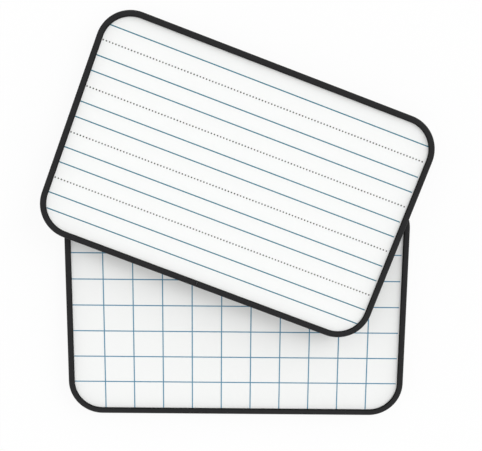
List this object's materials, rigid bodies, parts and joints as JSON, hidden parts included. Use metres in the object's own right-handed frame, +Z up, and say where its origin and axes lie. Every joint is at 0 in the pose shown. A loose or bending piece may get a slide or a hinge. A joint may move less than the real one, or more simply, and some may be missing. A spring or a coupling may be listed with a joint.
{
  "type": "mini whiteboard",
  "caption": "Handheld dry-erase board with rounded corners and a black rim, ruled for handwriting on one face and squared on the other, leaning across its flat-lying twin.",
  "frame": {"origin": "on the surface that the pair lies on, under the middle of the pair's box", "axes": "+Z up, +X to the right along the flat board's long side, +Y away from the viewer, towards the leaning board"},
  "size_m": [0.3336, 0.3507, 0.0209],
  "materials": {
    "core": "raw fibreboard",
    "sheet_glue": "dried glue film",
    "sheet": "glossy dry-erase film",
    "rim": "satin extruded plastic",
    "rim_glue": "dried glue bead",
    "ruled_ink": "printed ink",
    "dotted_ink": "printed ink",
    "grid_ink": "printed ink"
  },
  "bodies": {
    "bottom_board": {"bottom_core": "core", "bottom_ruled_glue": "sheet_glue", "bottom_grid_glue": "sheet_glue", "bottom_ruled_sheet": "sheet", "bottom_grid_sheet": "sheet", "bottom_rim": "rim", "bottom_rim_glue": "rim_glue", "bottom_ruled_lines": "ruled_ink", "bottom_dotted_lines": "dotted_ink", "bottom_grid_lines": "grid_ink"},
    "top_board": {"top_core": "core", "top_ruled_glue": "sheet_glue", "top_grid_glue": "sheet_glue", "top_ruled_sheet": "sheet", "top_grid_sheet": "sheet", "top_rim": "rim", "top_rim_glue": "rim_glue", "top_ruled_lines": "ruled_ink", "top_dotted_lines": "dotted_ink", "top_grid_lines": "grid_ink"}
  },
  "joints": [
    {"name": "lift_top_board", "type": "slide", "parent": "bottom_board", "child": "top_board", "axis": [0, 0, 1], "range_m": [0, 0.1]}
  ]
}
